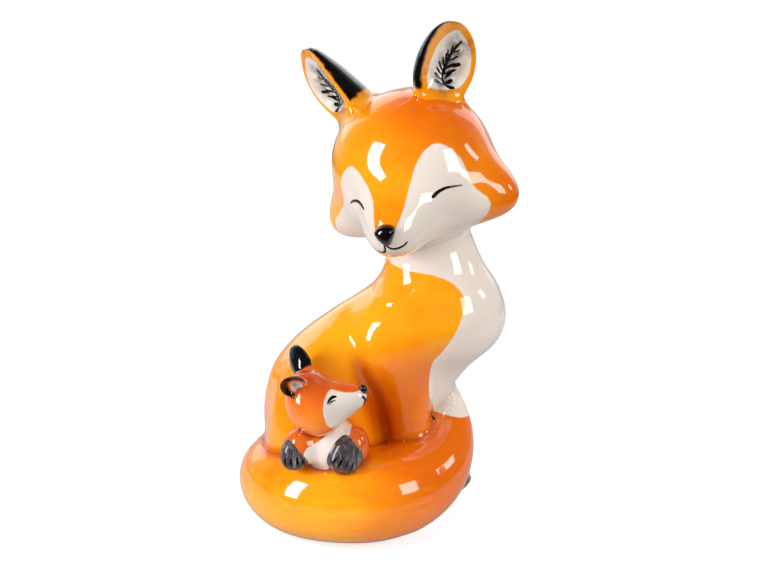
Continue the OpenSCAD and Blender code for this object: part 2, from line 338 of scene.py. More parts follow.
class Mixer:
    # short names for the shader nodes that the glazes are mixed from
    def __init__(self, name, gloss):
        self.material = bpy.data.materials.new(name)
        self.material.use_nodes = True
        self.nodes = self.material.node_tree.nodes
        self.links = self.material.node_tree.links
        self.shader = self.nodes["Principled BSDF"]
        for socket, value in gloss.items():
            self.shader.inputs[socket].default_value = value
        self.place = self.nodes.new("ShaderNodeTexCoord").outputs["Object"]

    def put(self, socket, value):
        if isinstance(value, bpy.types.NodeSocket):
            self.links.new(value, socket)
        else:
            socket.default_value = value

    def painted(self, title):
        node = self.nodes.new("ShaderNodeAttribute")
        node.attribute_name = title
        return node.outputs["Fac"]

    def cloud(self, scale, detail=2.0, stretch=(1, 1, 1)):
        # soft noise about nothing, from -0.5 to 0.5
        mapping = self.nodes.new("ShaderNodeMapping")
        mapping.inputs["Scale"].default_value = stretch
        self.links.new(self.place, mapping.inputs["Vector"])
        node = self.nodes.new("ShaderNodeTexNoise")
        node.inputs["Scale"].default_value = scale
        node.inputs["Detail"].default_value = detail
        self.links.new(mapping.outputs["Vector"], node.inputs["Vector"])
        return self.sum(node.outputs["Fac"], -0.5)

    def calc(self, operation, a, b):
        node = self.nodes.new("ShaderNodeMath")
        node.operation = operation
        self.put(node.inputs[0], a)
        self.put(node.inputs[1], b)
        return node.outputs[0]

    def sum(self, a, b):
        return self.calc("ADD", a, b)

    def times(self, a, b):
        return self.calc("MULTIPLY", a, b)

    def between(self, value, low, high):
        # nothing at low, one at high
        node = self.nodes.new("ShaderNodeMapRange")
        node.interpolation_type = "SMOOTHSTEP"
        self.put(node.inputs["Value"], value)
        node.inputs["From Min"].default_value = low
        node.inputs["From Max"].default_value = high
        return node.outputs["Result"]

    def blend(self, share, a, b):
        node = self.nodes.new("ShaderNodeMix")
        node.data_type = "RGBA"
        self.put(node.inputs["Factor"], share)
        self.put(node.inputs[6], a)
        self.put(node.inputs[7], b)
        return node.outputs[2]

    def finish(self, colour, bump, height):
        # height of the bump in metres
        self.put(self.shader.inputs["Base Color"], colour)
        node = self.nodes.new("ShaderNodeBump")
        node.inputs["Strength"].default_value = 1.0
        node.inputs["Distance"].default_value = height
        self.put(node.inputs["Height"], bump)
        self.links.new(node.outputs["Normal"], self.shader.inputs["Normal"])
        return self.material


wetGloss = {"Roughness": 0.12, "IOR": 1.5, "Specular IOR Level": 0.2, "Coat Weight": 1.0,
            "Coat Roughness": 0.03, "Coat IOR": 1.55}

orangeSet = {
    "yellow": shade(254, 170, 20),
    "orange": shade(248, 138, 10),
    "deep": shade(230, 106, 6),
    "red": shade(192, 68, 6),
    "ivory": shade(238, 224, 212),
    "ivoryShade": shade(220, 202, 188),
    "edge": 0.22,       # softness of a painted edge, mm
    "wander": 0.5,      # how far a painted edge wanders, mm
}


def orangeGlaze(name, look, streaks=0.25, stretch=(1, 1, 1.5), black=False):
    # Honey-coloured glaze, mottled from yellow to deeper orange, partly as painted shade on sides away from
    # the lamps;
    # red-brown painted shade in the seams and grooves, with brushed streaks, and pale slip where the white is
    # painted
    mix = Mixer(name, wetGloss)
    tone = mix.sum(mix.times(mix.cloud(34, 3), 0.95), mix.times(mix.cloud(120, 2, stretch), streaks))
    # deeper orange from the piece's tone attribute, partly painted shade on the sides and tops that get less
    # light
    tone = mix.sum(tone, mix.painted("toneAndShade"))
    colour = mix.blend(mix.between(tone, -0.15, 0.55), look["yellow"], look["orange"])
    colour = mix.blend(mix.between(tone, 0.4, 1.1), colour, look["deep"])
    # painted shade: red-brown where the deep attribute marks seams, grooves and tops, broken up a little by
    # noise
    paintedShade = mix.sum(mix.painted("deep"), mix.times(mix.cloud(60, 2), 0.25))
    colour = mix.blend(mix.times(mix.between(paintedShade, 0.2, 1.0), 0.85), colour, look["red"])
    # the pale slip also darkens where the deep attribute marks seams and grooves: painted shade
    pale = mix.blend(mix.between(mix.sum(mix.cloud(26, 3), mix.times(mix.painted("deep"), 0.7)), -0.1, 0.6),
                     look["ivory"], look["ivoryShade"])
    edge = mix.sum(mix.painted("white"), mix.times(mix.cloud(420, 2), look["wander"]))
    colour = mix.blend(mix.between(edge, -look["edge"], look["edge"]), colour, pale)
    if black:
        inner = mix.sum(mix.painted("inner"), mix.times(mix.cloud(420, 2), look["wander"]))
        colour = mix.blend(mix.between(inner, -look["edge"], look["edge"]), colour,
                           mix.blend(mix.between(mix.cloud(90, 2), -0.3, 0.3), look["ear"], look["earShade"]))
        smudge = mix.times(mix.painted("smudge"), mix.between(mix.cloud(300, 3), -0.2, 0.15))
        colour = mix.blend(smudge, colour, look["smudge"])
        dark = mix.sum(mix.painted("black"), mix.times(mix.cloud(500, 3), look["rag"]))
        colour = mix.blend(mix.between(dark, -look["ragged"], 0.0), colour, look["brown"])
        colour = mix.blend(mix.between(dark, -0.3, 0.3), colour, look["black"])
    bump = mix.sum(mix.cloud(90, 2), mix.times(mix.cloud(320, 2, stretch), 0.2))
    return mix.finish(colour, bump, 0.00012)


def blackGlaze(name, black, grey, share, gloss=wetGloss, stretch=(1, 1, 3)):
    # near black with a soft brushed grey over it
    mix = Mixer(name, gloss)
    brushed = mix.sum(mix.cloud(400, 5, stretch), mix.times(mix.cloud(70, 2), 0.6))
    colour = mix.blend(mix.times(mix.between(brushed, -0.1, 0.4), share), black, grey)
    return mix.finish(colour, mix.cloud(120, 2), 0.0001)


def bareClay(name):
    # unglazed foot: pale fired clay with fine grit and a few darker specks
    mix = Mixer(name, {"Roughness": 0.85, "Specular IOR Level": 0.3})
    colour = mix.blend(mix.between(mix.cloud(60, 4), -0.2, 0.3), shade(226, 214, 196), shade(200, 184, 162))
    colour = mix.blend(mix.between(mix.cloud(1400, 3), 0.16, 0.24), colour, shade(150, 128, 104))
    return mix.finish(colour, mix.cloud(1800, 4), 0.00012)


earLook = dict(orangeSet, ear=shade(254, 246, 236), earShade=shade(242, 230, 218), brown=shade(120, 62, 20),
               black=shade(10, 8, 8), smudge=shade(78, 70, 66), rag=2.6, ragged=1.4)
kitLook = dict(orangeSet, yellow=shade(248, 150, 50), orange=shade(238, 116, 34), deep=shade(206, 78, 18),
               red=shade(140, 40, 8), ivory=shade(222, 210, 200), wander=0.3, edge=0.15)
kitEarLook = dict(kitLook, ear=shade(236, 226, 218), earShade=shade(206, 192, 182), brown=shade(90, 36, 12),
                  black=shade(10, 8, 8), smudge=shade(70, 62, 60), rag=0.8, ragged=0.7)
honeyGlaze = orangeGlaze("honeyGlaze", orangeSet)
tailGlaze = orangeGlaze("tailGlaze", orangeSet, 0.6, (1, 1, 5))
earGlaze = orangeGlaze("earGlaze", earLook, black=True)
rustGlaze = orangeGlaze("rustGlaze", kitLook)
# the bib's ivory is paler than the kit's head: painted light, as the bib faces up to the lamps
litBibGlaze = orangeGlaze("litBibGlaze", dict(kitLook, ivory=shade(244, 234, 224), ivoryShade=shade(230, 214, 200)))
kitEarGlaze = orangeGlaze("kitEarGlaze", kitEarLook, black=True)
inkGlaze = blackGlaze("inkGlaze", shade(8, 6, 6), shade(26, 22, 20), 0.3)
pawGloss = dict(wetGloss, Roughness=0.35)
pawGloss["Coat Weight"] = 0.55
charcoalGlaze = blackGlaze("charcoalGlaze", shade(64, 56, 60), shade(170, 160, 165), 0.9, pawGloss,
                           (3, 3, 0.5))
footClay = bareClay("footClay")
print("glazes mixed")


# The mother's body: a stack of ovals from the foot to the neck, with a thigh melted on at each side

bodySet = {
    "height": 106, "back": 35.5, "front": 57.5, "chest": 50, "neckBack": 10.2, "neckLength": 38,
    "neckWidth": 32, "turn": -4, "foot": 5, "top": 1.2, "thighLength": 44, "thighHeight": 70,
    "thighWidth": 33,
    "thighOut": 13, "thighBack": 0.34, "thighLean": 3, "thighMelt": 5, "around": 280, "levels": 170,
    "bib": [(11.6, 118), (11.6, 108.1), (17.2, 105.8), (28.1, 104.7), (35.2, 102.2), (39.4, 98.5), (40.9, 95),
            (39.7, 89.8), (37.5, 84.2), (32.3, 75.9), (28.9, 71.6), (27.6, 63.3), (28, 54.9), (30, 45.2),
            (31, 30), (34, 25), (90, 25), (90, 118)],
    "groove": [(-2, 84), (-0.5, 78), (3.2, 68.5), (6.2, 59), (9.3, 50.2), (13, 42.2), (17, 34)],
    "grooveDeep": 2.6, "grooveWide": 5.0,
}
bodyRows = [
    [0.00, -bodySet["back"] * 0.86, bodySet["front"] * 0.50, bodySet["chest"] * 0.27, 0.50],
    [0.20, -bodySet["back"] * 0.99, bodySet["front"] * 0.57, bodySet["chest"] * 0.28, 0.50],
    [0.40, -bodySet["back"] * 1.03, bodySet["front"] * 0.59, bodySet["chest"] * 0.30, 0.46],
    [0.50, -bodySet["back"] * 1.00, bodySet["front"] * 0.63, bodySet["chest"] * 0.34, 0.36],
    [0.60, -bodySet["back"] * 0.90, bodySet["front"] * 0.757, bodySet["chest"] * 0.42, 0.18],
    [0.70, -bodySet["back"] * 0.655, bodySet["front"] * 0.944, bodySet["chest"] * 0.49, 0.05],
    [0.80, -bodySet["back"] * 0.27, bodySet["front"], bodySet["chest"] * 0.50, 0],
    [0.90, bodySet["neckBack"] - 4.7, bodySet["front"] * 0.95, bodySet["chest"] * 0.43, 0],
    [1.00, bodySet["neckBack"] + 0.8, bodySet["neckBack"] + bodySet["neckLength"],
     bodySet["neckWidth"] / 2, 0],
    [bodySet["top"], bodySet["neckBack"] + 1, bodySet["neckBack"] + bodySet["neckLength"] * 0.78,
     bodySet["neckWidth"] * 0.40, 0]]
bodyTurn = turned((0, 0, bodySet["turn"]))


def bodyOval(z):
    # middle, half length and half width of the oval at a height, and how much narrower it is to the front
    row = along(bodyRows, np.clip(z / bodySet["height"], 0, bodySet["top"]))
    return (row[..., 1] + row[..., 2]) / 2, (row[..., 2] - row[..., 1]) / 2, row[..., 3], row[..., 4]


def ovalGap(x, y, long, wide):
    # distance to the edge of an oval in its plane, true near that edge
    u, v = x / long, y / wide
    size = np.maximum(np.hypot(u, v), 1e-6)
    return (size - 1) * size / np.maximum(np.hypot(u / long, v / wide), 1e-6)


def bodyField(p):
    q = p @ bodyTurn
    middle, long, wide, pinch = bodyOval(q[..., 2])
    ahead = q[..., 0] - middle
    wide = wide * (1 - pinch * np.clip(ahead / long, -1, 1))
    return np.maximum(ovalGap(ahead, q[..., 1], long, wide), q[..., 2] - bodySet["height"] * bodySet["top"])


def thighField(side):
    at = bodyTurn @ np.array([-bodySet["back"] * bodySet["thighBack"], side * bodySet["thighOut"],
                              bodySet["thighHeight"] * 0.51])
    r = [bodySet["thighLength"] / 2, bodySet["thighWidth"] / 2, bodySet["thighWidth"] / 2,
         bodySet["thighHeight"] * 0.47,
         bodySet["thighHeight"] * 0.57]
    return Egg(at, r, turn=bodyTurn @ turned((0, bodySet["thighLean"], 0)))


nearThigh, farThigh = thighField(-1), thighField(1)


def grooveShare(p, wide):
    # one along the groove that parts each thigh from the shoulder and foreleg, fading over its width
    q = p @ bodyTurn
    return np.exp(-(gapToCurve(q[..., [0, 2]], bodySet["groove"]) / wide) ** 2) * step(np.abs(q[..., 1]),
                                                                                       3, 9)


def trunkField(p):
    trunk = smoothMin(smoothMin(bodyField(p), nearThigh(p), bodySet["thighMelt"]), farThigh(p),
                      bodySet["thighMelt"])
    return trunk + bodySet["grooveDeep"] * grooveShare(p, bodySet["grooveWide"])


# Forelegs: round posts that widen into the chest

legSet = {"ahead": 21.5, "apart": 24, "width": 14, "top": 0.88, "melt": 7.0, "around": 110,
          "levels": 130}
# share of the leg's height, how far ahead its middle is, half length and half width, in leg widths
legRows = [[0.00, 0, 0.50, 0.50], [0.38, 0, 0.52, 0.50], [0.58, -0.05, 0.62, 0.56], [0.76, -0.22, 0.86, 0.65],
           [0.90, -0.32, 0.86, 0.64], [1.00, -0.32, 0.50, 0.40]]
shoulderZ = bodySet["height"] * legSet["top"]


def legOval(z):
    share = np.clip((z - bodySet["foot"]) / (shoulderZ - bodySet["foot"]), 0, 1)
    row = along(legRows, share) * legSet["width"]
    return legSet["ahead"] + row[..., 1], row[..., 2], row[..., 3]


def legField(side):
    def field(p):
        q = p @ bodyTurn
        middle, long, wide = legOval(q[..., 2])
        d = ovalGap(q[..., 0] - middle, q[..., 1] - side * legSet["apart"] / 2, long, wide)
        return np.maximum(d, q[..., 2] - shoulderZ)
    return field


nearLeg, farLeg = legField(-1), legField(1)


def frontField(p):
    # trunk and forelegs in one
    return smoothMin(smoothMin(trunkField(p), nearLeg(p), legSet["melt"]), farLeg(p), legSet["melt"])


# The tail: round sections along the curl

tailSet = {"radius": 28.5, "thick": 36, "low": 1.2, "tip": 60, "around": 150, "along": 250, "dots": 260,
           "melt": 3.0, "whiteFrom": 45.0}
tailZ = tailSet["low"] + tailSet["thick"] / 2
tailTop = tailZ + tailSet["thick"] / 2


def tailHeight(share):
    return tailZ + (tailSet["tip"] - tailZ) * share


curl = tailSet["radius"]
tailRows = [
    [150, curl, tailHeight(0.03), 0.55], [175, curl + 1, tailHeight(-0.02), 0.88],
    [210, curl + 0.8, tailHeight(-0.02), 0.98], [255, curl, tailHeight(0), 1],
    [290, curl, tailHeight(0.02), 1], [320, curl + 1, tailHeight(0.08), 0.94],
    [341, curl + 4, tailHeight(0.22), 0.80], [355, curl + 6.5, tailHeight(0.45), 0.58],
    [363, curl + 6, tailHeight(0.74), 0.34], [367, curl + 5.5, tailHeight(0.95), 0.10]]
tailStart, tailEnd = tailRows[0][0], tailRows[-1][0]


def tailMiddle(degrees):
    row = along(tailRows, degrees)
    a = np.radians(degrees)
    return np.stack([row[..., 1] * np.cos(a), row[..., 1] * np.sin(a), row[..., 2]], axis=-1)


def tailThick(degrees):
    return tailSet["thick"] / 2 * along(tailRows, degrees)[..., 3]


tailSteps = np.linspace(tailStart, tailEnd, tailSet["dots"])
tailDots, tailRadii = tailMiddle(tailSteps), tailThick(tailSteps)


def tailField(p):
    best = np.full(p.shape[:-1], 1e9)
    for dot, thick in zip(tailDots, tailRadii):
        best = np.minimum(best, np.linalg.norm(p - dot, axis=-1) - thick)
    return best


# The head, about the middle of the skull

headSet = {
    "at": (bodySet["neckBack"] + bodySet["neckLength"] * 0.315, -2, bodySet["height"] + 35.5),
    "turn": (8, -14.5, -22), "r": [30.5, 28.5, 28.5, 31 * 0.82, 31], "full": 2.15,
    "lobes": [((0.91, -0.09, -0.41), 12, 18), ((-0.91, -0.09, -0.41), 11.2, 18), ((0, -0.96, -0.30), 17, 15),
              ((0, -0.72, -0.70), 2.5, 10), ((0.62, -0.4, -0.67), 2.2, 22), ((-0.9, 0, 0.42), 1.2, 14)],
    "around": 320, "levels": 220, "neckMelt": 8, "earMelt": 4,
    "white": [(4.8, -8.1), (7.6, -2.9), (9.3, 2.6), (12.6, 9.9), (16.4, 13.6), (20.6, 14.1), (25, 8.5),
              (26.8, 1.7), (27.9, -5.3), (31.4, -12.3), (29.6, -17), (25.6, -19.8), (21, -24.4),
              (14, -34), (-10, -34), (-24, -28), (-31, -22), (-34, -15.8), (-32.4, -10.8), (-28, -7),
              (-22.4, -1.1), (-21, 6.9), (-15.5, 12.4), (-11.5, 11.8), (-7.5, 6.7), (-4.1, 1.6),
              (-3.3, -3), (-2.8, -7.4), (-1.2, -9.6), (3.2, -9.8)],
}
headAt = np.array(headSet["at"], float)
headTurn = turned(headSet["turn"])
headField = Egg(headAt, headSet["r"], headSet["lobes"], headSet["full"], headTurn)

# Ears: rounded back, cupped front and round tip

earRows = [[-0.35, 0.62, 0.90], [0.00, 0.82, 0.95], [0.25, 0.99, 0.88], [0.50, 0.98, 0.74],
           [0.70, 0.85, 0.55], [0.86, 0.63, 0.36], [0.96, 0.37, 0.20], [1.00, 0.14, 0.10]]
earRim = 0.22


class Ear:
    def __init__(self, length, width, thick, cup, at, turn, bow=0.0):
        self.length, self.width, self.thick, self.cup, self.bow = length, width, thick, cup, bow
        self.at = np.array(at, float)
        self.turn = turn

    def section(self, v):
        # half width, depth behind the rim, depth before it, and how far the front is dished
        row = along(earRows, v)
        front = self.thick * earRim * row[..., 2]
        dip = (front + self.cup * row[..., 2]) * step(v, -0.12, 0.3)
        return self.width / 2 * row[..., 1], self.thick * (1 - earRim) * row[..., 2], front, dip

    def bend(self, flat):
        # the sections swing sideways between base and tip
        share = np.clip(np.asarray(flat)[..., 1] / self.length, 0, 1)
        return flat + np.stack([self.bow * np.clip(1 - (2 * share - 0.8) ** 2, 0, 1), 0 * share], axis=-1)

    def inOwnFrame(self, p):
        q = (p - self.at) @ self.turn
        q[..., 0] -= (self.bend(q[..., [0, 2]]) - q[..., [0, 2]])[..., 0]
        return q

    def surface(self, n, m):
        v = (-0.35 + 1.35 * np.sin(np.radians(np.linspace(0, 89, m))))[:, None]
        a = around(n)[None, :]
        half, back, front, dip = self.section(v)
        s = np.abs(np.sin(a))
        close = np.sqrt(np.clip(1 - (np.clip(v - 0.97, 0, 1) / 0.0302) ** 2, 0.0, 1))
        x = half * np.cos(a) * close
        y = np.where(a <= np.pi, back * s, -front * s + dip * s ** 3) * close
        q = np.stack(np.broadcast_arrays(x, y, self.length * v), axis=-1)
        bent = q.copy()
        bent[..., [0, 2]] = self.bend(q[..., [0, 2]])
        return q, bent @ self.turn.T + self.at

    def __call__(self, p):
        q = self.inOwnFrame(p)
        v = np.clip(q[..., 2] / self.length, -0.35, 1)
        half, back, front, dip = self.section(v)
        deep = np.where(q[..., 1] > 0, back, front)
        size = np.hypot(q[..., 0] / half, q[..., 1] / deep)
        shell = np.maximum((size - 1) * np.minimum(half, deep), q[..., 2] - self.length)
        return np.maximum(np.maximum(shell, -0.4 * self.length - q[..., 2]), self.dish(p))

    def dish(self, p):
        # height above the dished front, for strokes painted in the ear
        q = self.inOwnFrame(p)
        half, back, front, dip = self.section(np.clip(q[..., 2] / self.length, -0.35, 1))
        s = np.sqrt(np.clip(1 - (q[..., 0] / half) ** 2, 0, 1))
        return -(q[..., 1] - (-front * s + dip * s ** 3))


earSet = {
    "left": {"length": 29, "width": 20, "thick": 18, "cup": 3.2, "lean": 21, "turn": 34, "out": 19.8,
             "bow": -3.6},
    "right": {"length": 29.8, "width": 24, "thick": 15, "cup": 5, "lean": 26, "turn": 42, "out": 18.3,
              "bow": 0.6},
    "up": 26.7, "around": 160, "levels": 140,
    "inner": [(2.7, 25.8), (-2.4, 21), (-4.9, 15.5), (-5.9, 9.6), (-5.8, 4.8), (-3.6, 2.8), (1.6, 2.1),
              (6.5, 3), (9.2, 6.4), (10, 11), (9.3, 17), (6.2, 22.8)],
    "spine": [(1.2, 3.4), (1.6, 8.8), (2.8, 15), (5.6, 21.6)],
    "leftSpine": [(-0.4, 3.4), (-0.8, 8.5), (-1.2, 14), (-1.2, 20)],
    "barbs": [(0.02, -66, 4.0, 0.6), (0.03, 62, 3.8, 0.65), (0.05, 100, 4.2, 0.55), (0.10, -52, 4.6, 0.5),
              (0.14, 44, 4.2, 0.55), (0.18, -42, 5.2, 0.45), (0.22, 52, 5.0, 0.6), (0.27, -34, 5.6, 0.45),
              (0.33, 36, 4.6, 0.5), (0.37, -24, 5.6, 0.45), (0.41, 60, 5.4, 0.9), (0.47, -18, 5.0, 0.5),
              (0.53, 38, 4.6, 0.45), (0.60, -28, 3.8, 0.35), (0.67, -12, 4.6, 0.45), (0.74, 32, 3.4, 0.35)],
}


def featherStrokes(spine, barbs, side):
    # a tapered spine with barbs: each leaves the spine at a share of its way, leaning so far from it
    line = curveThrough(spine, False, 12)
    strokes = [[spine, [0.6, 0.7, 0.55, 0.6, 0.6]]]
    for share, lean, length, wide in barbs:
        i = int(share * (len(line) - 2))
        ahead = line[i + 1] - line[i]
        turn = math.atan2(ahead[1], ahead[0]) - math.radians(lean * side)
        way = np.array([math.cos(turn), math.sin(turn)])
        bend = np.array([-way[1], way[0]]) * lean * side * 0.004
        dots = [line[i], line[i] + way * length * 0.55 - bend, line[i] + way * length]
        strokes.append([dots, [0.15, wide, wide * 0.8]])
    return strokes


def motherEar(side, look):
    turn = headTurn @ turned((0, side * look["lean"], 0)) @ turned((0, 0, side * look["turn"]))
    at = headAt + headTurn @ np.array([side * look["out"], 0, earSet["up"]])
    return Ear(look["length"], look["width"], look["thick"], look["cup"], at, turn, look["bow"])


leftEar, rightEar = motherEar(-1, earSet["left"]), motherEar(1, earSet["right"])

# Paws with the toes to the front

pawSet = {"length": 24, "height": 13, "full": 2.3, "forepawLifted": 4.0, "forepawRise": 5.0,
          "grid": (120, 80)}


def motherPaw(x, y, lifted, rise):
    # lifted: how far the widest part moves up; rise: how much higher the top stands above it
    toes = [((1, 0.5 * k, -0.1), 2, 30) for k in (-1, 0, 1)]
    long, tall = pawSet["length"], pawSet["height"]
    return Egg(bodyTurn @ np.array([x, y, 1.2 + tall / 2 + lifted]),
               [long / 2, long * 0.35, long * 0.35, tall / 2 + lifted, tall / 2 + rise],
               toes, pawSet["full"], bodyTurn)


farForepaw = motherPaw(legSet["ahead"] + pawSet["length"] * 0.36, legSet["apart"] * 0.62,
                       pawSet["forepawLifted"], pawSet["forepawRise"])
farHindPaw = motherPaw(legSet["ahead"] * 0.35, 13 + bodySet["thighWidth"] / 2, 0, 0)

kitSet = {
    "at": (-15.5, -curl - 6.5, tailTop + 22.6), "turn": (-24, -10, 78), "r": 11, "muzzle": 19.0, "width": 27,
    "ear": 11, "earWidth": 8.6, "paw": 13.5, "nose": [1.6, 1.3, 1.3, 2.1, 1.8],
    "headGrid": (180, 130), "bodyGrid": (180, 120), "earGrid": (90, 80), "noseGrid": (48, 36),
    "pawGrid": (110, 80),
    "white": [(-9.8, 4.6), (-7.9, 3.4), (-6.3, 0.8), (-5.5, -2.3), (-5.2, -7.3), (-7, -10), (-14, -14),
              (-24, -12), (-26, -4), (-21, -1.2), (-17.4, 0.2), (-14.3, 1.8), (-12, 3.2)],
    "bib": [(-19, 43.1), (-19.6, 37), (-14, 33), (-10, 35), (-10.4, 39.5), (-9.2, 42.3), (-6.1, 45.4),
            (-3.5, 47), (-2.2, 49.2), (-1.2, 54), (-6, 57), (-9.8, 50), (-12.8, 46.6), (-15.8, 44.8)],
    "earRim": [(0.5, 6.6), (-1.7, 4.8), (-2.5, 2.6), (-2.2, -1.5), (3.6, -1.5), (3.5, 3), (2.6, 5.2)],
    "earInner": [(0.4, 4.8), (-1.4, 3.2), (-1.7, 1.4), (-0.6, 0.3), (1.4, 0.3), (2.5, 1.8), (2.0, 3.6)],
}
kitAt = np.array(kitSet["at"], float)
kitTurn = turned(kitSet["turn"])
kitSkull = kitSet["r"]
kitHeadField = Egg(kitAt, [kitSkull, kitSkull, kitSkull, kitSkull * 1.1, kitSkull],
                   [((0, -1, -0.12), kitSet["muzzle"] - kitSkull, 14), ((0.8, -0.1, -0.5), 2.5, 8),
                    ((-0.8, -0.1, -0.5), 2.5, 8), ((0, -0.8, -0.5), 2.5, 8), ((0, -0.93, -0.36), 0.5, 26),
                    ((0, 0.1, 1), 2.2, 5)], 2.0, kitTurn)
kitMiddle = np.array([kitAt[0] + 6, -curl - 3.5, tailTop + 5])
kitChest = Egg(kitMiddle, [kitSet["width"] * 0.42, kitSkull * 0.74, kitSkull * 0.8, kitSkull, kitSkull * 0.9])
kitShoulders = [Egg(kitMiddle + np.array([-11.2, -3, 0.4]), [6.6, 6.6, 6.6, 7.7, 7.0]),
                Egg(kitMiddle + np.array([8.8, -3, 0.6]), [5.6, 6.6, 6.6, 7.7, 7.4])]


def kitBodyField(p):
    return smoothMin(smoothMin(kitChest(p), kitShoulders[0](p), 2.5), kitShoulders[1](p), 2.5)


def kitEar(side, long, wide, rise):
    turn = kitTurn @ turned((-18, side * 35, 0)) @ turned((0, 0, side * 60))
    at = kitAt + kitTurn @ np.array([side * kitSkull * 0.55, -0.3, kitSkull * 0.8 + rise])
    return Ear(long, wide, wide * 0.62, wide * 0.2, at, turn)


kitNearEar = kitEar(-1, kitSet["ear"] - 1.4, kitSet["earWidth"], 0.4)
kitFarEar = kitEar(1, kitSet["ear"] + 1, kitSet["earWidth"] + 2, 1.2)


def kitPaw(x, d, tall, lean):
    toes = [((0.62 * k, -0.75, -0.35), 0.6, 26) for k in (-1, 0, 1)]
    return Egg([x, -curl - 9, tailTop + 1.9], [d / 2, d * 0.42, d * 0.42, d * 0.52, d * tall], toes, 2.2,
               turned((0, lean, 0)))


kitLeftPaw = kitPaw(kitAt[0] - 7.8, kitSet["paw"] * 0.78, 0.67, -4)
kitRightPaw = kitPaw(kitAt[0] + 11.1, kitSet["paw"] * 0.97, 0.68, 24)
print("forms set out")


def bodyToneAndShade(p):
    # yellower up the back and neck, deeper orange low down, down the forelegs and towards the breast;
    # the deeper orange towards the breast is partly painted shade on the side away from the left lamp
    return (0.15 * step(p[..., 0], -20, 40) + 0.3 * step(p[..., 2], 90, 60)
            + 0.5 * step(p[..., 2], 86, 52) * step(p[..., 0], -8, 14))


# Body and thighs: straight out from the middle of each level's oval until the joined skin is met

heights = np.linspace(bodySet["foot"], bodySet["height"] * bodySet["top"], bodySet["levels"])[:, None]
turns = around(bodySet["around"])[None, :]
towards = np.stack(np.broadcast_arrays(np.cos(turns), np.sin(turns), 0 * heights), axis=-1) @ bodyTurn.T
middles = bodyOval(heights)[0]
axis = np.stack(np.broadcast_arrays(middles, 0 * middles, heights), axis=-1) @ bodyTurn.T
low, high = np.zeros(towards.shape[:2]), np.full(towards.shape[:2], 70.0)
for _ in range(halvings):
    half = (low + high) / 2
    inside = trunkField(axis + towards * half[..., None]) < 0
    low, high = np.where(inside, half, low), np.where(inside, high, half)
tuck = 1 - 0.07 * np.exp(-(heights - bodySet["foot"]) / 2.0)
body = axis + towards * (low * tuck)[..., None]
body = melt(body, trunkField, [(nearLeg, legSet["melt"]), (farLeg, legSet["melt"]),
                               (tailField, tailSet["melt"]),
                               (headField, headSet["neckMelt"]), (kitHeadField, 1.0), (kitBodyField, 1.0)])
makePiece("body", body, honeyGlaze, ["body"], {
    "white": insideOutline(body[..., [0, 2]], bodySet["bib"]),
    # painted shade: red-brown along the seams with the tail and the kit, and in the groove between each thigh
    # and the shoulder
    "deep": np.maximum(0.8 * seamShade(body, [tailField, kitHeadField, kitBodyField], 3.0),
                       0.85 * grooveShare(body, 5.5) * step(body[..., 2], 86, 62)),
    "toneAndShade": bodyToneAndShade(body),
})
for name, side, field, other in (("near_foreleg", -1, nearLeg, farLeg), ("far_foreleg", 1, farLeg, nearLeg)):
    levels = np.linspace(bodySet["foot"], shoulderZ, legSet["levels"])[:, None]
    turns = around(legSet["around"])[None, :]
    middle, long, wide = legOval(levels)
    leg = np.stack(np.broadcast_arrays(middle + long * np.cos(turns), side * legSet["apart"] / 2
                                       + wide * np.sin(turns), levels), axis=-1) @ bodyTurn.T
    leg = melt(leg, field, [(trunkField, legSet["melt"]), (other, legSet["melt"]),
                            (tailField, tailSet["melt"])])
    makePiece(name, leg, honeyGlaze, [name], {
        "white": insideOutline(leg[..., [0, 2]], bodySet["bib"]),
        # painted shade: red-brown in the groove by the thigh and along the seam with the tail
        "deep": np.maximum(0.7 * grooveShare(leg, 5.5) * step(leg[..., 2], 86, 62),
                           0.8 * seamShade(leg, [tailField], 2.5)),
        "toneAndShade": bodyToneAndShade(leg),
    })
print("body and forelegs made")

# Tail: rings square to the curl, rounded off at the tip

tailPlaces = np.linspace(tailStart, tailEnd - 0.001, tailSet["along"])
ahead = unit(tailMiddle(tailPlaces + 0.4) - tailMiddle(tailPlaces - 0.4))
out = unit(np.cross(ahead, [0, 0, 1.0]))
upwards = np.cross(out, ahead)
roundedOff = 1 - (np.clip(tailPlaces - tailEnd + 2, 0, 2) / 2.0) ** 2
thick = tailThick(tailPlaces) * np.sqrt(np.clip(roundedOff, 0.0004, 1))
turns = np.radians(np.arange(tailSet["around"]) * -360 / tailSet["around"])
tail = tailMiddle(tailPlaces)[:, None] + thick[:, None, None] * (
    np.cos(turns)[None, :, None] * out[:, None] + np.sin(turns)[None, :, None] * upwards[:, None])
tail = melt(tail, tailField, [(frontField, tailSet["melt"]), (farForepaw, 1),
                              (kitBodyField, 1.2), (kitLeftPaw, 0.8), (kitRightPaw, 0.8)])
tail[..., 2] = np.maximum(tail[..., 2], tailSet["low"])
tipLine = tailSet["whiteFrom"] - 0.25 * (tail[..., 0] - 36)
makePiece("tail", tail, tailGlaze, ["tail"], {
    "white": tail[..., 2] - tipLine + 40 * np.minimum(step(tail[..., 0], 20, 24) - 1, 0),
    # painted shade: red-brown along the seams with body, forelegs, forepaw and kit; the deeper orange to the
    # right and on the top behind is partly painted shade too
    "deep": np.maximum(seamShade(tail, [trunkField, nearLeg, farLeg, farForepaw, kitBodyField], 3.0),
                       0.8 * seamShade(tail, [kitLeftPaw, kitRightPaw], 1.6)),
    "toneAndShade": (0.8 * step(tail[..., 0], -25, 40)
             + 0.5 * step(tail[..., 1], -48, -28) * step(tail[..., 2], 12, 32) - 0.05),
})
print("tail made")

# Head and ears

